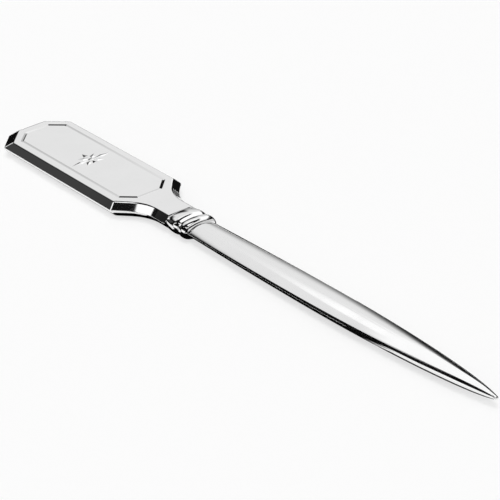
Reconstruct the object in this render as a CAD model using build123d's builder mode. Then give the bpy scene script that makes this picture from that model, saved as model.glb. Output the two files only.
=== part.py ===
# Letter opener: a bevelled hollow handle, a collar of two rings and an oval blade on a hidden tang.
# Millimetres. X runs from the butt to the tip, Y across, Z up. The origin is under the middle of
# the part, on the surface that it lies on.

import math
import os

from build123d import *

# Driving dimensions: the whole part
overall_length = 220.0

# Driving dimensions: the handle, two thin shells that meet at the seam half way up
handle_length = 84.0        # butt to collar
handle_width = 23.75        # across the seam
handle_thickness = 4.6      # face to face
seam_land = 0.6             # height of the upright band that the seam runs along
side_bevel = 1.9            # how far a face is set in from the seam, at the sides and neck
butt_bevel = 2.9            # the same at the butt and its cut corners
corner_length = 6.3         # cut corners of the butt, along the handle
corner_width = 5.4          # and across it
neck_width = 11.3           # across the seam, where the handle meets the collar
neck_straight = 5.2         # parallel stretch of the neck, behind the collar
neck_hollow = 14.4          # radius of the hollow curve from shoulder to neck, at the seam
shoulder_angle = 38.0       # how steeply the shoulders turn in, in degrees
corner_round = 0.9          # rounding of the corners of the outline
face_round = 0.9            # rounding of the edges of a face
seam_round = 0.2            # rounding of the edges of the seam band
shell_wall = 0.8

# Driving dimensions: the border line cut into the upper face
border_margin = 2.4         # from the sides of the face
border_butt_margin = 3.3    # from the butt end of the face
border_reach = 2.8          # past the shoulders of the face, towards the neck
border_corner_length = 4.1
border_corner_width = 3.7
border_width = 0.9
border_depth = 0.2

# Driving dimensions: the collar, at the crest of its rings
collar_width = 11.0
collar_thickness = 5.2
collar_crown = 19.5         # radius of the flat curve over the top
rear_ring_length = 5.7
rear_ring_crest = 3.6       # from the back of the ring to its crest
front_ring_length = 4.3
front_ring_crest = 2.0
front_ring_fall = 1.5       # from its crest to where it turns down to the blade
fall_drop = 0.14            # how far it has come down there
ring_groove = 0.36          # depth of the grooves beside the crests
collar_lip = 0.12           # the mouth of the collar stands this far round the blade

# Driving dimensions: the blade
blade_root_width = 8.96
blade_width = 10.36         # at its widest
blade_thickness = 3.5       # kept until close to the tip
blade_swell = 54.0          # from the root to the widest place
root_edge_share = 0.35      # radius of the long edges, as a share of half the thickness
tip_edge_share = 0.8
taper_draw = 1.3            # power that draws the taper in, 1 being a plain quarter oval
point_power = 8.0           # the higher, the closer to the tip the blade keeps its thickness
tip_nose = 0.8              # length of the rounded end of the tip
tip_width = 1.3             # where the rounded end starts
tip_flat = 0.35             # width that is left at the very end

# Driving dimensions: the tang, bedded in the filling of the handle
tang_width = 5.0
tang_tail_width = 3.2
tang_length = 52.0          # inside the handle
tang_cover = 0.45           # filling left above and below the tang
notch_radius = 0.7
notch_pitch = 9.0
notch_count = 3             # on each edge of the tang
bore_gap = 0.05             # all round the tang in the rings
bed_gap = 0.05              # all round the tang in the filling, and round the filling's sides

# How many steps the sections of a smooth form are spread over
swell_steps = 4
taper_steps = 7
nose_steps = 2
ring_steps = 2
mouth_steps = 4

# Places that follow from these
same_level = 0.001          # heights this close count as one
butt_x = -overall_length / 2
collar_x = butt_x + handle_length
front_ring_x = collar_x + rear_ring_length
blade_x = front_ring_x + front_ring_length
tip_x = overall_length / 2
half_thickness = handle_thickness / 2
seam_z = max(collar_thickness, handle_thickness) / 2
bevel_height = half_thickness - seam_land / 2
bevel_slope = math.atan2(bevel_height, side_bevel)
roof_height = half_thickness - shell_wall
roof_inset = side_bevel + shell_wall * math.tan(bevel_slope / 2)
rim_width = roof_inset - roof_height * side_bevel / bevel_height
butt_roof_inset = roof_inset + butt_bevel - side_bevel
tang_half_height = roof_height - tang_cover - bed_gap


# Outlines and sections

def shares(steps):
    # Even shares from 0 to 1.
    return [step / steps for step in range(steps + 1)]


def shoulder_places(inset):
    # Where the side turns in, and where the hollow curve starts and ends, at this inset.
    turn = math.radians(shoulder_angle)
    radius = neck_hollow + inset
    curve_end_x = collar_x - neck_straight
    curve_start_x = curve_end_x - radius * math.sin(turn)
    curve_start_y = neck_width / 2 - inset + radius * (1 - math.cos(turn))
    side_y = handle_width / 2 - inset
    shoulder_x = curve_start_x - (side_y - curve_start_y) / math.tan(turn)
    return shoulder_x, (curve_start_x, curve_start_y), curve_end_x


def handle_outline(height, inset, butt_inset):
    # Outline of the handle at a height from the seam, set in from the outline of the seam.
    side_y = handle_width / 2 - inset
    neck_y = neck_width / 2 - inset
    back_x = butt_x + butt_inset
    shoulder_x, curve_start, curve_end_x = shoulder_places(inset)
    with BuildSketch(Plane.XY.offset(seam_z + height)) as outline:
        with BuildLine():
            FilletPolyline(
                (back_x, 0),
                (back_x, side_y - corner_width),
                (back_x + corner_length, side_y),
                (shoulder_x, side_y),
                curve_start,
                radius=corner_round,
            )
            RadiusArc(curve_start, (curve_end_x, neck_y), -(neck_hollow + inset))
            Polyline((curve_end_x, neck_y), (collar_x, neck_y), (collar_x, 0))
            mirror(about=Plane.XZ)
        make_face()
    return outline.sketch


def border_outline(height, grow):
    # Octagon of the border line at a height from the seam, grown or shrunk all round.
    half_width = handle_width / 2 - side_bevel - border_margin
    back_x = butt_x + butt_bevel + border_butt_margin
    front_x = shoulder_places(side_bevel)[0] + border_reach
    with BuildSketch(Plane.XY.offset(seam_z + height)) as outline:
        with BuildLine():
            Polyline(
                (back_x, 0),
                (back_x, half_width - border_corner_width),
                (back_x + border_corner_length, half_width),
                (front_x - border_corner_length, half_width),
                (front_x, half_width - border_corner_width),
                (front_x, 0),
            )
            mirror(about=Plane.XZ)
        make_face()
        if grow:
            offset(amount=grow, kind=Kind.INTERSECTION)
    return outline.sketch


def across(x):
    # Plane across the part at x, with its origin in the seam plane, X along Y and Y up.
    return Plane(origin=(x, 0, seam_z), x_dir=(0, 1, 0), z_dir=(1, 0, 0))


def oval(x, half_width, half_height, side_radius):
    # Oval of four arcs that meet smoothly: a crown above and below, and two round sides.
    middle = half_width - side_radius
    crown = (middle**2 + half_height**2 - side_radius**2) / (2 * (half_height - side_radius))
    reach = crown / (crown - side_radius)
    join_y = middle * reach
    join_z = half_height - crown + (crown - half_height) * reach
    with BuildSketch(across(x)) as section:
        with BuildLine():
            ThreePointArc((-join_y, join_z), (0, half_height), (join_y, join_z))
            ThreePointArc((join_y, join_z), (half_width, 0), (join_y, -join_z))
            ThreePointArc((join_y, -join_z), (0, -half_height), (-join_y, -join_z))
            ThreePointArc((-join_y, -join_z), (-half_width, 0), (-join_y, join_z))
        make_face()
    return section.sketch


def ring_section(x, drop):
    # Section of a ring whose surface lies this far below the crest.
    return oval(x, *(crest_size - Vector(drop, drop, drop)))


def ring_rise(back_x, length):
    # Sections of a ring from its back up to its crest.
    return [
        ring_section(back_x + length * share, ring_groove * (1 - share) ** 2)
        for share in shares(ring_steps)
    ]


def blade_section(x, half_width, half_height):
    # Section of the blade, with long edges that grow rounder from the root to the tip.
    along = (x - blade_x) / (tip_x - blade_x)
    edge_share = root_edge_share + (tip_edge_share - root_edge_share) * along
    return oval(x, half_width, half_height, half_height * edge_share)


def tang_outline(height, grow):
    # Tang in plan: parallel through the collar, then tapering back to a round tail.
    root_y = tang_width / 2
    tail_y = tang_tail_width / 2
    tail_x = collar_x - tang_length
    with BuildSketch(Plane.XY.offset(seam_z + height)) as outline:
        with BuildLine():
            Polyline((blade_x, 0), (blade_x, root_y), (collar_x, root_y), (tail_x + tail_y, tail_y))
            CenterArc((tail_x + tail_y, 0), tail_y, start_angle=90, arc_size=90)
            mirror(about=Plane.XZ)
        make_face()
        for side in (-1, 1):
            for notch in range(notch_count):
                back = (notch + 1) * notch_pitch
                edge_y = root_y - (root_y - tail_y) * back / (tang_length - tail_y)
                with Locations((collar_x - back, side * edge_y)):
                    Circle(notch_radius, mode=Mode.SUBTRACT)
        if grow:
            offset(amount=grow, kind=Kind.INTERSECTION)
    return outline.sketch


# Handle shells

with BuildPart() as border_groove:
    groove_floor = border_outline(half_thickness - border_depth, 0)
    loft([groove_floor, border_outline(half_thickness, border_width / 2)], ruled=True)
    loft(
        [groove_floor, border_outline(half_thickness, -border_width / 2)],
        ruled=True,
        mode=Mode.SUBTRACT,
    )


def shell_forms(side):
    # Outer form and hollow of one shell: side is 1 above the seam and -1 below it.
    outer = [
        handle_outline(0, 0, 0),
        handle_outline(side * seam_land / 2, 0, 0),
        handle_outline(side * half_thickness, side_bevel, butt_bevel),
    ]
    hollow = [
        handle_outline(0, rim_width, rim_width),
        handle_outline(side * roof_height, roof_inset, butt_roof_inset),
    ]
    return outer, hollow


def outline_edges(shell, height):
    # Edges of a shell that run round it at a height from the seam, without the one at the collar.
    level = seam_z + height
    level_edges = shell.edges().filter_by_position(Axis.Z, level - same_level, level + same_level)
    return level_edges.filter_by_position(Axis.X, butt_x, collar_x, (True, False))


with BuildPart() as handle_upper_shell:
    outer_form, hollow_form = shell_forms(1)
    loft(outer_form, ruled=True)
    fillet(outline_edges(handle_upper_shell, half_thickness), radius=face_round)
    fillet(outline_edges(handle_upper_shell, seam_land / 2), radius=seam_round)
    loft(hollow_form, ruled=True, mode=Mode.SUBTRACT)
    add(border_groove.part, mode=Mode.SUBTRACT)

with BuildPart() as handle_lower_shell:
    outer_form, hollow_form = shell_forms(-1)
    loft(outer_form, ruled=True)
    fillet(outline_edges(handle_lower_shell, -half_thickness), radius=face_round)
    fillet(outline_edges(handle_lower_shell, -seam_land / 2), radius=seam_round)
    loft(hollow_form, ruled=True, mode=Mode.SUBTRACT)

# Filling: fills the hollow of both shells round the tang

with BuildPart() as handle_filling:
    loft(
        [
            handle_outline(-roof_height, roof_inset + bed_gap, butt_roof_inset + bed_gap),
            handle_outline(0, rim_width + bed_gap, rim_width + bed_gap),
            handle_outline(roof_height, roof_inset + bed_gap, butt_roof_inset + bed_gap),
        ],
        ruled=True,
    )
    bed_half_height = tang_half_height + bed_gap
    extrude(tang_outline(-bed_half_height, bed_gap), amount=2 * bed_half_height, mode=Mode.SUBTRACT)

# Collar rings: each is a swelling oval band with a slot for the tang

bore_width = tang_width + 2 * bore_gap
bore_height = 2 * (tang_half_height + bore_gap)
crest_width = collar_width / 2
crest_height = collar_thickness / 2
crest_drop = 2 * crest_height * collar_crown - crest_width**2 - crest_height**2
crest_side = crest_drop / (2 * (collar_crown - crest_width))
crest_size = Vector(crest_width, crest_height, crest_side)

with BuildPart() as rear_collar_ring:
    crest_x = collar_x + rear_ring_crest
    fall = rear_ring_length - rear_ring_crest
    sections = ring_rise(collar_x, rear_ring_crest)
    for share in shares(ring_steps)[1:]:
        sections.append(ring_section(crest_x + fall * share, ring_groove * share**2))
    loft(sections)
    with BuildSketch(across(collar_x)):
        Rectangle(bore_width, bore_height)
    extrude(amount=rear_ring_length, mode=Mode.SUBTRACT)

with BuildPart() as front_collar_ring:
    crest_x = front_ring_x + front_ring_crest
    turn_x = crest_x + front_ring_fall
    turn_size = crest_size - Vector(fall_drop, fall_drop, fall_drop)
    turn_length = front_ring_length - front_ring_crest - front_ring_fall
    mouth_half_height = blade_thickness / 2
    mouth_size = Vector(blade_root_width / 2, mouth_half_height, mouth_half_height * root_edge_share)
    mouth_size += Vector(collar_lip, collar_lip, collar_lip)
    sections = ring_rise(front_ring_x, front_ring_crest)
    for share in shares(ring_steps)[1:]:
        sections.append(ring_section(crest_x + front_ring_fall * share, fall_drop * share**2))
    for share in shares(mouth_steps)[1:]:
        turn = share * math.pi / 2
        size = turn_size + (mouth_size - turn_size) * (1 - math.cos(turn))
        sections.append(oval(turn_x + turn_length * math.sin(turn), *size))
    loft(sections, ruled=True)
    with BuildSketch(across(front_ring_x)):
        Rectangle(bore_width, bore_height)
    extrude(amount=front_ring_length, mode=Mode.SUBTRACT)

# Blade: swells gently from the root, then tapers along a quarter oval to a round nose

with BuildPart() as blade:
    widest_x = blade_x + blade_swell
    nose_x = tip_x - tip_nose
    taper_turn = math.acos((tip_width / blade_width) ** (1 / taper_draw))
    taper_length = (nose_x - widest_x) / math.sin(taper_turn)
    sections = []
    for share in shares(swell_steps)[:-1]:
        swell = math.sin(math.pi / 2 * share)
        half_width = (blade_root_width + (blade_width - blade_root_width) * swell) / 2
        sections.append(blade_section(blade_x + blade_swell * share, half_width, blade_thickness / 2))
    for share in shares(taper_steps):
        turn = taper_turn * share
        half_width = blade_width / 2 * math.cos(turn) ** taper_draw
        kept = (1 - math.sin(turn) ** point_power) ** (taper_draw / 2)
        half_height = blade_thickness / 2 * kept
        place = widest_x + taper_length * math.sin(turn)
        sections.append(blade_section(place, half_width, half_height))
    nose_turn = math.acos(tip_flat / tip_width)
    for share in shares(nose_steps)[1:]:
        turn = nose_turn * share
        size = math.cos(turn)
        place = nose_x + tip_nose * math.sin(turn) / math.sin(nose_turn)
        sections.append(blade_section(place, half_width * size, half_height * size))
    loft(sections, ruled=True)
    extrude(tang_outline(-tang_half_height, 0), amount=2 * tang_half_height)

# Labels and files

pieces = {
    "handle_upper_shell": handle_upper_shell,
    "handle_lower_shell": handle_lower_shell,
    "handle_filling": handle_filling,
    "rear_collar_ring": rear_collar_ring,
    "front_collar_ring": front_collar_ring,
    "blade": blade,
}
os.makedirs("parts", exist_ok=True)
for name, piece in pieces.items():
    piece.part.label = name
    export_step(piece.part, f"parts/{name}.step")
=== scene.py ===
import math

import bpy
from mathutils import Matrix, Vector


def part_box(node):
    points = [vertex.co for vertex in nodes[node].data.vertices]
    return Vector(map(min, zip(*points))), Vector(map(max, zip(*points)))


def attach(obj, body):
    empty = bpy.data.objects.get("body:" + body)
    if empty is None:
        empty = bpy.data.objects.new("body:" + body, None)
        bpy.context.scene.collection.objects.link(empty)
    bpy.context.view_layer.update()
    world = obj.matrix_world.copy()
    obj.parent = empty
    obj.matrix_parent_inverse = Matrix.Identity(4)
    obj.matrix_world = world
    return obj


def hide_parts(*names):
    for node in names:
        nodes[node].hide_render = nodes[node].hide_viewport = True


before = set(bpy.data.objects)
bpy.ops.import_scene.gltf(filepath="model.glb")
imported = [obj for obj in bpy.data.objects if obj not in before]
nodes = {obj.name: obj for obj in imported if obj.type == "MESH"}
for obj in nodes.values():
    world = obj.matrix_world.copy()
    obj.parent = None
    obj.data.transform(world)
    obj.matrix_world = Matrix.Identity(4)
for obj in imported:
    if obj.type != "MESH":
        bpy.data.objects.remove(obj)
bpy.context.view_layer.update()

mm = 0.001  # one millimetre in scene units


# small helpers

def hexLinear(code):
    # sRGB hex to linear RGBA
    channels = [int(code[i:i + 2], 16) / 255 for i in (1, 3, 5)]
    linear = [c / 12.92 if c <= 0.04045 else ((c + 0.055) / 1.055) ** 2.4 for c in channels]
    return (*linear, 1.0)


def addNode(tree, kind, settings=None, **sockets):
    # one node with its settings; a socket is named with _ for spaces, or inN by its place
    node = tree.nodes.new(kind)
    for name, value in (settings or {}).items():
        setattr(node, name, value)
    for name, value in sockets.items():
        key = int(name[2:]) if name[:2] == "in" and name[2:].isdigit() else name.replace("_", " ")
        if isinstance(value, bpy.types.NodeSocket):
            tree.links.new(value, node.inputs[key])
        else:
            node.inputs[key].default_value = value
    return node


def freshTree(owner):
    owner.use_nodes = True
    owner.node_tree.nodes.clear()
    return owner.node_tree


def addObject(name, points, faces, material=None, crease=None):
    # mesh object from points in metres; edges sharper than the crease angle stay crisp
    mesh = bpy.data.meshes.new(name)
    mesh.from_pydata([tuple(p) for p in points], [], faces)
    mesh.validate()
    if crease is not None:
        mesh.shade_smooth()
        mesh.set_sharp_from_angle(angle=math.radians(crease))
    if material is not None:
        mesh.materials.append(material)
    piece = bpy.data.objects.new(name, mesh)
    bpy.context.scene.collection.objects.link(piece)
    return piece


def skinLoops(loops, closed=False):
    # quads between loops of equal count, joined back to the first loop or capped at both ends
    count = len(loops[0])
    points = [p for loop in loops for p in loop]
    faces = []
    spans = len(loops) if closed else len(loops) - 1
    for span in range(spans):
        here, there = span * count, (span + 1) % len(loops) * count
        for i in range(count):
            j = (i + 1) % count
            faces.append((here + i, here + j, there + j, there + i))
    if not closed:
        faces.append(tuple(reversed(range(count))))
        faces.append(tuple(range(len(points) - count, len(points))))
    return points, faces


def shares(steps):
    # from 0 to 1 in equal steps
    return [step / steps for step in range(steps + 1)]


# camera: long lens, low over the tip, a little rolled

cameraSettings = {
    "place": (529.85, -325.98, 318.34),  # mm
    "aim": (3.85, 2.37, 2.6),            # mm
    "roll": -6.38,                       # degrees
    "lens": 187.2,                       # mm
    "sensor": 36.0,                      # mm across
    "nearest": 10.0,                     # mm, what is closer isn't drawn
}


def makeCamera(settings):
    place = Vector(settings["place"]) * mm
    aim = Vector(settings["aim"]) * mm
    turn = (aim - place).to_track_quat("-Z", "Y").to_matrix().to_4x4()
    roll = Matrix.Rotation(math.radians(settings["roll"]), 4, "Z")
    data = bpy.data.cameras.new("camera")
    data.lens = settings["lens"]
    data.sensor_width = settings["sensor"]
    data.clip_start = settings["nearest"] * mm
    camera = bpy.data.objects.new("camera", data)
    bpy.context.scene.collection.objects.link(camera)
    camera.matrix_world = Matrix.Translation(place) @ turn @ roll
    bpy.context.scene.camera = camera


makeCamera(cameraSettings)
print("camera set")


# studio: white floor, soft cards all round with dark gaps between them, and small sheets near the part; the
# black sheets under and in front of the part are painted shade

studio = {
    "gloom": 0.006,      # brightness between the cards
    "floorColour": "#f7f7f7",
    "floorHalf": 4000,   # mm from the middle to each side
    "shadowKept": 0.35,  # share of the floor's shading that the camera sees
    # one black for the velvet flags and for the sheets that paint the shade under the part
    "velvetAndShadeColour": "#0a0a0a",
    "sheetHeight": 0.02,  # mm over the floor, for a sheet that lies on it
    # az and el: where a card hangs, from and to in degrees; azSoft and elSoft: how far its edges fade
    # lowClimb and topClimb: how an edge climbs with each degree from the card's first side, and its limit
    # light: its brightness; seen: its brightness in mirrors, where that is less
    "cards": {
        "leftWall": dict(az=(147, 159), azSoft=(4, 3), el=(22, 34), elSoft=(8, 4),
                         topClimb=(0.85, 11), light=0.87),
        "leftFar": dict(az=(160, 186), azSoft=(3, 11), el=(29, 45), elSoft=(8, 4),
                        lowClimb=(0.5, 11), light=0.87),
        "upperLeft": dict(az=(147, 158), azSoft=(3, 8), el=(31.3, 36.5), elSoft=(5.5, 2),
                          lowClimb=(0.6, 10.5), topClimb=(0.72, 13), light=1.15),
        "leftLow": dict(az=(176, 190), azSoft=(5, 5), el=(9, 20), elSoft=(3, 4), light=1.1),
        "leftDim": dict(az=(198, 209.5), azSoft=(4, 1.5), el=(12, 26), elSoft=(5, 5), light=0.05),
        "lowGlow": dict(az=(139.5, 148), azSoft=(5, 4), el=(22, 28), elSoft=(34, 5), light=0.87),
        "midGlow": dict(az=(131, 145), azSoft=(4, 2), el=(22.3, 33.5), elSoft=(5, 2),
                        lowClimb=(0.5, 7), light=1.15),
        "rightWall": dict(az=(118, 140.5), azSoft=(8, 1.5), el=(43, 46), elSoft=(4, 4),
                          lowClimb=(-1.0, -16), light=1.15),
        "topBack": dict(az=(122, 141), azSoft=(4, 4), el=(47, 74), elSoft=(4, 6), light=1.3),
        "topFar": dict(az=(78, 120), azSoft=(10, 4), el=(47, 74), elSoft=(4, 6), light=0.74),
        "topLeft": dict(az=(141, 160), azSoft=(4, 6), el=(47, 74), elSoft=(3, 6),
                        lowClimb=(0.85, 16), light=1.3),
        "topFront": dict(az=(222, 280), azSoft=(8, 10), el=(63, 72), elSoft=(4, 4), light=1.2),
        "frontPanel": dict(az=(220.5, 265), azSoft=(2.5, 6), el=(30, 47.2), elSoft=(6, 1.6), light=1.2),
        "frontLow": dict(az=(230, 262), azSoft=(2, 6), el=(0, 20), elSoft=(3, 4), light=1.1),
        "frontWide": dict(az=(224, 262), azSoft=(3, 6), el=(9, 31), elSoft=(4, 4), light=0.87),
        "borderGlow": dict(az=(179, 183), azSoft=(3, 1.5), el=(33.5, 38), elSoft=(4, 4), light=0.6),
        "roomRight": dict(az=(285, 345), azSoft=(10, 10), el=(4, 40), elSoft=(4, 10), light=0.75),
        "roomFar": dict(az=(5, 75), azSoft=(10, 15), el=(4, 28), elSoft=(4, 5), light=0.75),
        "keyRight": dict(az=(305, 345), azSoft=(12, 12), el=(40, 76), elSoft=(10, 4), light=2.6, seen=0.85),
        "overhead": dict(az=(-180, 180), azSoft=(1, 1), el=(78, 89), elSoft=(4, 1), light=6.5, seen=0.85),
    },
    # corners in mm, on the floor where no height is given
    # glow: brightness of a white sheet; without it the sheet is black
    # fade: where a sheet fades out along X, in mm; thin: share of what lies behind that shows through
    "sheets": {
        # painted shade: a black sheet under and in front of the blade, in place of the floor in the blade's
        # shadow
        "bladeShadowSheet": dict(corners=((-26, 4), (-26, -12), (-80, -66), (10, -66), (60, -20), (72, -12),
                                   (72, 4)), fade=(60, 70)),
        # painted shade: a black sheet under the handle, in place of the floor in its shadow
        "handleShadowSheet": dict(corners=((-108, -11), (-40, -11), (-26, -8), (-26, 8), (-40, 11), (-108, 11))),
        "buttFlag": dict(corners=((-113, -18), (-113, 14), (-3900, 1400), (-3900, 300))),
        "collarBackFlag": dict(corners=((-26, 6), (-12, 6), (30, 110), (-90, 110))),
        "neckBackFlag": dict(corners=((-42, 16), (-52, 14), (-72, 38), (-260, 280), (-200, 300), (-55, 45)),
                             thin=0.12),
        "tipBackFlag": dict(corners=((47, 5), (112, 3), (130, 120), (-70, 120))),
        # painted shade: a black sheet under the edge of the tip, in place of the floor in its shadow
        "tipShadowSheet": dict(corners=((56, -6.8), (72, -6.6), (86, -5.5), (97, -4.5), (108, -3.0),
                                      (108, 0), (56, 0))),
        "bladeFrontFlag": dict(corners=((-32, -15, 8), (-16, -15, 8), (-14, -15, 5), (44, -15, 5),
                                        (50, -15, 0.3), (58, -15, 0.3), (66, -15, 6.5), (76, -15, 6.8),
                                        (80, -15, 8.4), (84, -15, 9), (101, -15, 12.5), (104, -15, 20),
                                        (60, -15, 60), (-14, -15, 60), (-16, -15, 20), (-32, -15, 20))),
        "tipCard": dict(corners=((40, -1.8, 20), (62, -2.4, 20), (80, -3, 20), (92, -4, 20), (101, -4.8, 20),
                                 (103, 3, 20), (98, 11, 20), (93, 16, 20), (87, 20, 20), (78, 24, 20),
                                 (66, 27, 20), (40, 32, 20)), fade=(58, 42), glow=1.1),
    },
}


def window(tree, angle, low, high, softLow, softHigh):
    # 1 between low and high, easing to 0 outside, all in degrees
    rise = addNode(tree, "ShaderNodeMapRange", {"interpolation_type": "SMOOTHSTEP"}, Value=angle,
                   From_Min=math.radians(low - softLow), From_Max=math.radians(low))
    fall = addNode(tree, "ShaderNodeMapRange", {"interpolation_type": "SMOOTHSTEP"}, Value=angle,
                   From_Min=math.radians(high), From_Max=math.radians(high + softHigh),
                   To_Min=1.0, To_Max=0.0)
    both = addNode(tree, "ShaderNodeMath", {"operation": "MULTIPLY"},
                   in0=rise.outputs[0], in1=fall.outputs[0])
    return both.outputs[0]


def overEdge(tree, around, height, start, climb):
    # height over an edge that climbs with the turn, up to a limit
    slope, limit = climb
    rise = addNode(tree, "ShaderNodeMapRange", Value=around, From_Min=math.radians(start),
                   From_Max=math.radians(start + limit / slope), To_Min=0.0, To_Max=math.radians(limit))
    over = addNode(tree, "ShaderNodeMath", {"operation": "SUBTRACT"}, in0=height, in1=rise.outputs[0])
    return over.outputs[0]


def cardGlow(tree, turn, height, mirrored, card):
    # the card's own turn runs from 0 to 360 with its middle at 180, so that none is split
    half = (card["az"][1] - card["az"][0]) / 2
    middle = math.radians(sum(card["az"]) / 2)
    shifted = addNode(tree, "ShaderNodeMath", {"operation": "SUBTRACT"}, in0=turn, in1=middle - math.pi)
    around = addNode(tree, "ShaderNodeMath", {"operation": "FLOORED_MODULO"},
                     in0=shifted.outputs[0], in1=2 * math.pi).outputs[0]
    lowHeight = topHeight = height
    if "lowClimb" in card:
        lowHeight = overEdge(tree, around, height, 180 - half, card["lowClimb"])
    if "topClimb" in card:
        topHeight = overEdge(tree, around, height, 180 - half, card["topClimb"])
    lit = card["light"]
    if "seen" in card:
        lit = addNode(tree, "ShaderNodeMapRange", Value=mirrored, To_Min=lit, To_Max=card["seen"]).outputs[0]
    for share in (
        window(tree, around, 180 - half, 180 + half, *card["azSoft"]),
        window(tree, lowHeight, card["el"][0], 90, card["elSoft"][0], 1),
        window(tree, topHeight, -90, card["el"][1], 1, card["elSoft"][1]),
    ):
        lit = addNode(tree, "ShaderNodeMath", {"operation": "MULTIPLY"}, in0=share, in1=lit).outputs[0]
    return lit


def makeWorld(settings):
    world = bpy.data.worlds.new("studio")
    bpy.context.scene.world = world
    tree = freshTree(world)
    way = addNode(tree, "ShaderNodeTexCoord")
    xyz = addNode(tree, "ShaderNodeSeparateXYZ", Vector=way.outputs["Generated"])
    turn = addNode(tree, "ShaderNodeMath", {"operation": "ARCTAN2"},
                   in0=xyz.outputs["Y"], in1=xyz.outputs["X"]).outputs[0]
    height = addNode(tree, "ShaderNodeMath", {"operation": "ARCSINE"}, in0=xyz.outputs["Z"]).outputs[0]
    mirrored = addNode(tree, "ShaderNodeLightPath").outputs["Is Glossy Ray"]
    total = None
    for card in settings["cards"].values():
        lit = cardGlow(tree, turn, height, mirrored, card)
        if total is not None:
            lit = addNode(tree, "ShaderNodeMath", {"operation": "MAXIMUM"}, in0=total, in1=lit).outputs[0]
        total = lit
    total = addNode(tree, "ShaderNodeMath", {"operation": "ADD"}, in0=total, in1=settings["gloom"])
    glow = addNode(tree, "ShaderNodeBackground", Color=(1, 1, 1, 1), Strength=total.outputs[0])
    addNode(tree, "ShaderNodeOutputWorld", Surface=glow.outputs[0])


def makeFloor(settings):
    # matt white paper; the camera sees it partly lit by itself, so that the shadow stays light
    paper = bpy.data.materials.new("white background paper")
    tree = freshTree(paper)
    matt = addNode(tree, "ShaderNodeBsdfDiffuse", Color=hexLinear(settings["floorColour"]))
    white = addNode(tree, "ShaderNodeEmission", Color=(1, 1, 1, 1), Strength=1.0)
    ray = addNode(tree, "ShaderNodeLightPath")
    seen = addNode(tree, "ShaderNodeMath", {"operation": "MAXIMUM"},
                   in0=ray.outputs["Is Camera Ray"], in1=ray.outputs["Is Glossy Ray"])
    seen = addNode(tree, "ShaderNodeMath", {"operation": "MAXIMUM"},
                   in0=seen.outputs[0], in1=ray.outputs["Is Transmission Ray"])
    share = addNode(tree, "ShaderNodeMath", {"operation": "MULTIPLY"},
                    in0=seen.outputs[0], in1=1 - settings["shadowKept"])
    both = addNode(tree, "ShaderNodeMixShader", in0=share.outputs[0],
                   in1=matt.outputs[0], in2=white.outputs[0])
    addNode(tree, "ShaderNodeOutputMaterial", Surface=both.outputs[0])
    half = settings["floorHalf"] * mm
    corners = [(-half, -half, 0), (half, -half, 0), (half, half, 0), (-half, half, 0)]
    addObject("floor", corners, [(0, 1, 2, 3)], paper)


def makeSheets(settings):
    # small sheets that only mirrors see: black velvet for the dark lines, white card for the pale ones; the
    # black ones lying under and in front of the part are painted shade, in place of the floor in its shadow
    for name, sheet in settings["sheets"].items():
        stuff = bpy.data.materials.new(name + (" white card" if "glow" in sheet else " black velvet"))
        tree = freshTree(stuff)
        if "glow" in sheet:
            surface = addNode(tree, "ShaderNodeEmission", Strength=sheet["glow"])
        else:
            surface = addNode(tree, "ShaderNodeBsdfDiffuse", Color=hexLinear(settings["velvetAndShadeColour"]))
        clear = addNode(tree, "ShaderNodeBsdfTransparent")
        gone = sheet.get("thin", 0.0)
        if "fade" in sheet:
            spot = addNode(tree, "ShaderNodeNewGeometry")
            x = addNode(tree, "ShaderNodeSeparateXYZ", Vector=spot.outputs["Position"]).outputs["X"]
            gone = addNode(tree, "ShaderNodeMapRange", {"interpolation_type": "SMOOTHSTEP"}, Value=x,
                           From_Min=sheet["fade"][0] * mm, From_Max=sheet["fade"][1] * mm).outputs[0]
        both = addNode(tree, "ShaderNodeMixShader", in0=gone, in1=surface.outputs[0], in2=clear.outputs[0])
        addNode(tree, "ShaderNodeOutputMaterial", Surface=both.outputs[0])
        corners = [Vector((*corner, settings["sheetHeight"])[:3]) * mm for corner in sheet["corners"]]
        piece = addObject(name, corners, [tuple(range(len(corners)))], stuff)
        piece.visible_camera = False
        piece.visible_diffuse = False
        piece.visible_transmission = False
        piece.visible_shadow = False


makeWorld(studio)
makeFloor(studio)
makeSheets(studio)
print("studio lit")


# silver plate on brass, three finishes from the same bath

plateLook = {
    "clear": "#f3f3f3",
    "hazy": "#ededed",
    "spread": (0.8, 1.25),  # how the roughness varies about its value
    # in mm: the clouds that the buffing wheel leaves, and the width and depth of its fine lines,
    # which are drawn coarser than real ones so that they show
    "mirror": dict(roughness=0.06, cloud=9.0, line=0.3, lineDepth=0.00002),
    "satin": dict(roughness=0.1, cloud=7.0, line=0.25, lineDepth=0.00005),
    "rings": dict(roughness=0.05, cloud=4.0, line=0.3, lineDepth=0.00002),
}


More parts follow.
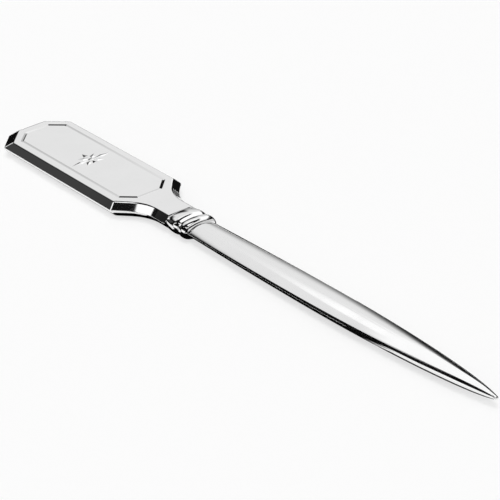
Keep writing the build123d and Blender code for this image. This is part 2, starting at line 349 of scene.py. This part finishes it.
def silverPlate(name, look, roughness, cloud, line, lineDepth):
    plate = bpy.data.materials.new(name)
    tree = freshTree(plate)
    where = addNode(tree, "ShaderNodeTexCoord").outputs["Object"]
    # most of the noise lies between 0.3 and 0.7
    haze = addNode(tree, "ShaderNodeTexNoise", Vector=where, Scale=1 / (cloud * mm), Detail=3.0)
    rough = addNode(tree, "ShaderNodeMapRange", Value=haze.outputs[0], From_Min=0.3, From_Max=0.7,
                    To_Min=roughness * look["spread"][0], To_Max=roughness * look["spread"][1])
    tint = addNode(tree, "ShaderNodeMix", {"data_type": "RGBA"}, in0=haze.outputs[0],
                   in6=hexLinear(look["clear"]), in7=hexLinear(look["hazy"]))
    drawn = addNode(tree, "ShaderNodeMapping", in0=where, Scale=(0.02, 1, 1))  # lines run along X
    lines = addNode(tree, "ShaderNodeTexNoise", Vector=drawn.outputs[0], Scale=1 / (line * mm), Detail=2.0)
    bump = addNode(tree, "ShaderNodeBump", Height=lines.outputs[0], Distance=lineDepth * mm, Strength=1.0)
    shader = addNode(tree, "ShaderNodeBsdfPrincipled", Base_Color=tint.outputs[2], Metallic=1.0,
                     Roughness=rough.outputs[0], Normal=bump.outputs[0])
    addNode(tree, "ShaderNodeOutputMaterial", Surface=shader.outputs[0])
    return plate


# buffed to a mirror: clear reflections with the faintest cloud
mirrorPlate = silverPlate("silver plate, mirror buffed", plateLook, **plateLook["mirror"])
# drawn along the blade on a soft mop: reflections soften and run together
satinPlate = silverPlate("silver plate, soft mop finish", plateLook, **plateLook["satin"])
# buffed hard on the rings: the sharpest reflections, with small clouds
collarPlate = silverPlate("silver plate, buffed rings", plateLook, **plateLook["rings"])


resinLook = {
    "dark": "#2b2622",
    "pale": "#4a433b",
    "roughness": 0.7,
    "grain": 0.6,    # mm
    "relief": 0.02,  # mm
}


def castResin(name, look):
    # dark casting resin: hard, dull, with a few paler filler grains
    resin = bpy.data.materials.new(name)
    tree = freshTree(resin)
    where = addNode(tree, "ShaderNodeTexCoord").outputs["Object"]
    grain = addNode(tree, "ShaderNodeTexNoise", Vector=where, Scale=1 / (look["grain"] * mm), Detail=4.0)
    tint = addNode(tree, "ShaderNodeMix", {"data_type": "RGBA"}, in0=grain.outputs[0],
                   in6=hexLinear(look["dark"]), in7=hexLinear(look["pale"]))
    bump = addNode(tree, "ShaderNodeBump", Height=grain.outputs[0],
                   Distance=look["relief"] * mm, Strength=0.5)
    shader = addNode(tree, "ShaderNodeBsdfPrincipled", Base_Color=tint.outputs[2],
                     Roughness=look["roughness"], Normal=bump.outputs[0])
    addNode(tree, "ShaderNodeOutputMaterial", Surface=shader.outputs[0])
    return resin


def dress(node, material):
    node.data.materials.clear()
    node.data.materials.append(material)


fillingResin = castResin("cast resin filling", resinLook)
dress(nodes["handle_upper_shell"], mirrorPlate)
dress(nodes["handle_lower_shell"], mirrorPlate)
dress(nodes["handle_filling"], fillingResin)
print("materials made")


# places that the blade and the rings take from the frame, in mm
bladeLow, bladeHigh = (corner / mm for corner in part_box("blade"))
rearLow, rearHigh = (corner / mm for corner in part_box("rear_collar_ring"))
frontLow, frontHigh = (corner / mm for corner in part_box("front_collar_ring"))
middleZ = (bladeLow.z + bladeHigh.z) / 2


def ovalLoop(x, halfWidth, halfHeight, sideRadius, crownSteps=24, sideSteps=20):
    # oval of four arcs that meet smoothly, as points in metres
    middle = halfWidth - sideRadius
    crown = (middle ** 2 + halfHeight ** 2 - sideRadius ** 2) / (2 * (halfHeight - sideRadius))
    lean = math.asin(middle / (crown - sideRadius))
    arcs = (
        (0, halfHeight - crown, crown, -lean, lean, crownSteps),
        (middle, 0, sideRadius, lean, math.pi - lean, sideSteps),
        (0, crown - halfHeight, crown, math.pi - lean, math.pi + lean, crownSteps),
        (-middle, 0, sideRadius, math.pi + lean, 2 * math.pi - lean, sideSteps),
    )
    loop = []
    for y, z, radius, start, stop, steps in arcs:
        for share in shares(steps)[:-1]:
            angle = start + (stop - start) * share
            across, up = y + radius * math.sin(angle), z + radius * math.cos(angle)
            loop.append(Vector((x, across, middleZ + up)) * mm)
    return loop[::-1]


# blade: swells from the root, then draws in to a round point, with edges that grow rounder

bladeSizes = {  # mm
    "rootWidth": 8.96, "width": 10.36, "thickness": 3.5, "swell": 54.0,
    "rootEdge": 0.35, "tipEdge": 0.8, "taperDraw": 1.3, "pointPower": 8.0,
    "tipNose": 0.8, "tipWidth": 1.3, "tipFlat": 0.35,
    "swellSteps": 40, "taperSteps": 110, "noseSteps": 12,
}


def bladeLoops(s):
    rootX, tipX = frontHigh.x, bladeHigh.x
    widestX = rootX + s["swell"]
    noseX = tipX - s["tipNose"]

    def section(x, halfWidth, halfHeight):
        edge = s["rootEdge"] + (s["tipEdge"] - s["rootEdge"]) * (x - rootX) / (tipX - rootX)
        return ovalLoop(x, halfWidth, halfHeight, halfHeight * edge)

    loops = []
    for share in shares(s["swellSteps"])[:-1]:
        halfWidth = (s["rootWidth"] + (s["width"] - s["rootWidth"]) * math.sin(math.pi / 2 * share)) / 2
        loops.append(section(rootX + s["swell"] * share, halfWidth, s["thickness"] / 2))
    taperTurn = math.acos((s["tipWidth"] / s["width"]) ** (1 / s["taperDraw"]))
    taperLength = (noseX - widestX) / math.sin(taperTurn)
    for share in shares(s["taperSteps"]):
        turn = taperTurn * share
        halfWidth = s["width"] / 2 * math.cos(turn) ** s["taperDraw"]
        halfHeight = s["thickness"] / 2 * (1 - math.sin(turn) ** s["pointPower"]) ** (s["taperDraw"] / 2)
        loops.append(section(widestX + taperLength * math.sin(turn), halfWidth, halfHeight))
    # the nose rounds off the taper's last section
    noseTurn = math.acos(s["tipFlat"] / s["tipWidth"])
    for share in shares(s["noseSteps"])[1:]:
        turn = noseTurn * share
        x = noseX + s["tipNose"] * math.sin(turn) / math.sin(noseTurn)
        loops.append(section(x, halfWidth * math.cos(turn), halfHeight * math.cos(turn)))
    return loops


# tang: a flat bar behind the blade, through the collar, with round notches that key it in the filling

tangSizes = {  # mm
    "width": 5.0, "tailWidth": 3.2, "length": 52.0, "thickness": 2.0,
    "notchRadius": 0.7, "notchPitch": 9.0, "notches": 3, "arcSteps": 8,
    "bedded": 0.5,  # how far the bar runs into the blade
}


def tangLoops(s):
    collarX = rearLow.x
    half, tail = s["width"] / 2, s["tailWidth"] / 2
    tailX = collarX - s["length"] + tail
    edge = [(frontHigh.x + s["bedded"], half), (collarX, half)]
    for notch in range(1, s["notches"] + 1):
        back = notch * s["notchPitch"]
        y = half - (half - tail) * back / (s["length"] - tail)
        for share in shares(s["arcSteps"]):
            turn = math.pi * share
            edge.append((collarX - back + s["notchRadius"] * math.cos(turn),
                         y - s["notchRadius"] * math.sin(turn)))
    for share in shares(s["arcSteps"]):
        turn = math.pi / 2 * (1 + share)
        edge.append((tailX + tail * math.cos(turn), tail * math.sin(turn)))
    outline = edge + [(x, -y) for x, y in reversed(edge[:-1])]
    heights = (middleZ - s["thickness"] / 2, middleZ + s["thickness"] / 2)
    return [[Vector((x, y, z)) * mm for x, y in outline] for z in heights]


def joinParts(*parts):
    # several closed skins in one mesh
    points, faces = [], []
    for partPoints, partFaces in parts:
        faces += [tuple(i + len(points) for i in face) for face in partFaces]
        points += partPoints
    return points, faces


bladeParts = joinParts(skinLoops(bladeLoops(bladeSizes)), skinLoops(tangLoops(tangSizes)))
bladePiece = addObject("blade_skin", *bladeParts, satinPlate, crease=30)
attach(bladePiece, "root")
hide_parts("blade")
print("blade made")


# collar rings: each swells to a crest; the front one turns down to the blade

collarSizes = {  # mm
    "width": 11.0, "thickness": 5.2, "crown": 19.5, "groove": 0.36, "lip": 0.12,
    "rearCrest": 3.6, "frontCrest": 2.0, "frontFall": 1.5, "fallDrop": 0.14,
    "boreWidth": 5.1, "boreHeight": 2.1, "steps": 14,
}


def crestSize(s):
    # half width, half height and side radius of a ring's oval at its crest
    halfWidth, halfHeight = s["width"] / 2, s["thickness"] / 2
    side = 2 * halfHeight * s["crown"] - halfWidth ** 2 - halfHeight ** 2
    return Vector((halfWidth, halfHeight, side / (2 * (s["crown"] - halfWidth))))


def ringLoop(x, drop, s):
    # section of a ring whose surface lies this far below the crest
    return ovalLoop(x, *(crestSize(s) - Vector((drop, drop, drop))))


def ringRise(startX, length, s):
    # sections from the back of a ring up to its crest
    loops = []
    for share in shares(s["steps"]):
        loops.append(ringLoop(startX + length * share, s["groove"] * (1 - share) ** 2, s))
    return loops


def boreLoop(outer, s):
    # the slot for the tang, one point on its wall for each point of the ring's outline
    loop = []
    for point in outer:
        y, z = point.y / mm, point.z / mm - middleZ
        reach = 1 / max(abs(y) / (s["boreWidth"] / 2), abs(z) / (s["boreHeight"] / 2))
        loop.append(Vector((point.x, y * reach * mm, (middleZ + z * reach) * mm)))
    return loop


def rearLoops(s):
    crestX = rearLow.x + s["rearCrest"]
    fall = rearHigh.x - crestX
    loops = ringRise(rearLow.x, s["rearCrest"], s)
    for share in shares(s["steps"])[1:]:
        loops.append(ringLoop(crestX + fall * share, s["groove"] * share ** 2, s))
    return loops


def mouthSize(s):
    # the same three for the blade's root with a thin lip all round
    halfHeight = bladeSizes["thickness"] / 2
    root = Vector((bladeSizes["rootWidth"] / 2, halfHeight, halfHeight * bladeSizes["rootEdge"]))
    return root + Vector((1, 1, 1)) * s["lip"]


def noseLoop(reach, drop, s):
    # section of the front ring past its crest: its ends come in along a quarter oval
    crest, mouth = crestSize(s), mouthSize(s)
    crestX = frontLow.x + s["frontCrest"]
    inShare = 1 - math.cos(math.asin(min(1, reach / (frontHigh.x - crestX))))
    downShare = drop / (crest.y - mouth.y)
    halfWidth = crest.x + (mouth.x - crest.x) * inShare
    side = crest.z + (mouth.z - crest.z) * downShare
    return ovalLoop(crestX + reach, halfWidth, crest.y - drop, side)


def frontLoops(s):
    turnLength = frontHigh.x - frontLow.x - s["frontCrest"] - s["frontFall"]
    turnDrop = crestSize(s).y - mouthSize(s).y - s["fallDrop"]
    loops = ringRise(frontLow.x, s["frontCrest"], s)
    for share in shares(s["steps"])[1:]:
        loops.append(noseLoop(s["frontFall"] * share, s["fallDrop"] * share ** 2, s))
    for share in shares(s["steps"])[1:]:
        turn = share * math.pi / 2
        reach = s["frontFall"] + turnLength * math.sin(turn)
        loops.append(noseLoop(reach, s["fallDrop"] + turnDrop * (1 - math.cos(turn)), s))
    return loops


rings = {"rear_collar_ring": rearLoops(collarSizes), "front_collar_ring": frontLoops(collarSizes)}
for name, outers in rings.items():
    loops = outers + [boreLoop(outers[-1], collarSizes), boreLoop(outers[0], collarSizes)]
    ring = addObject(name + "_skin", *skinLoops(loops, closed=True), collarPlate, crease=35)
    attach(ring, "root")
    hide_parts(name)
print("collar made")


# rosette: low faceted petals in the middle of the upper face, long and short in turn

rosetteSizes = {  # mm
    "centre": (-73.2, 0.0), "reach": (5.3, 7.0), "petals": 8, "shortShare": 0.72,
    "innerShare": 0.1, "waistShare": 0.5, "petalWidth": 2.0, "rise": 0.2, "sunk": 0.03,
    "bossRadius": 1.0, "bossSides": 8,
}


def pyramid(corners, top, s):
    # low pyramid on the face, its foot sunk a little into it
    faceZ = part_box("handle_upper_shell")[1].z / mm
    points = [Vector((x, y, faceZ - s["sunk"])) * mm for x, y in corners]
    points.append(Vector((*top, faceZ + s["rise"])) * mm)
    count = len(corners)
    faces = [tuple(reversed(range(count)))]
    faces += [(i, (i + 1) % count, count) for i in range(count)]
    return points, faces


def rosetteParts(s):
    centre = Vector(s["centre"])
    parts = []
    for petal in range(s["petals"]):
        turn = 2 * math.pi * petal / s["petals"]
        out = Vector((math.cos(turn), math.sin(turn)))
        beside = Vector((-out.y, out.x)) * s["petalWidth"] / 2
        reach = 1 / math.hypot(out.x / s["reach"][0], out.y / s["reach"][1])
        reach *= s["shortShare"] if petal % 2 else 1
        waist = centre + out * reach * s["waistShare"]
        inner, outer = centre + out * reach * s["innerShare"], centre + out * reach
        corners = [inner, waist - beside, outer, waist + beside]
        parts.append(pyramid(corners, waist, s))
    corners = []
    for side in range(s["bossSides"]):
        turn = 2 * math.pi * side / s["bossSides"]
        corners.append(centre + Vector((math.cos(turn), math.sin(turn))) * s["bossRadius"])
    parts.append(pyramid(corners, centre, s))
    return parts


rosette = addObject("face_rosette", *joinParts(*rosetteParts(rosetteSizes)), mirrorPlate)
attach(rosette, "root")
print("rosette made")


bpy.context.scene.view_settings.view_transform = "Standard"
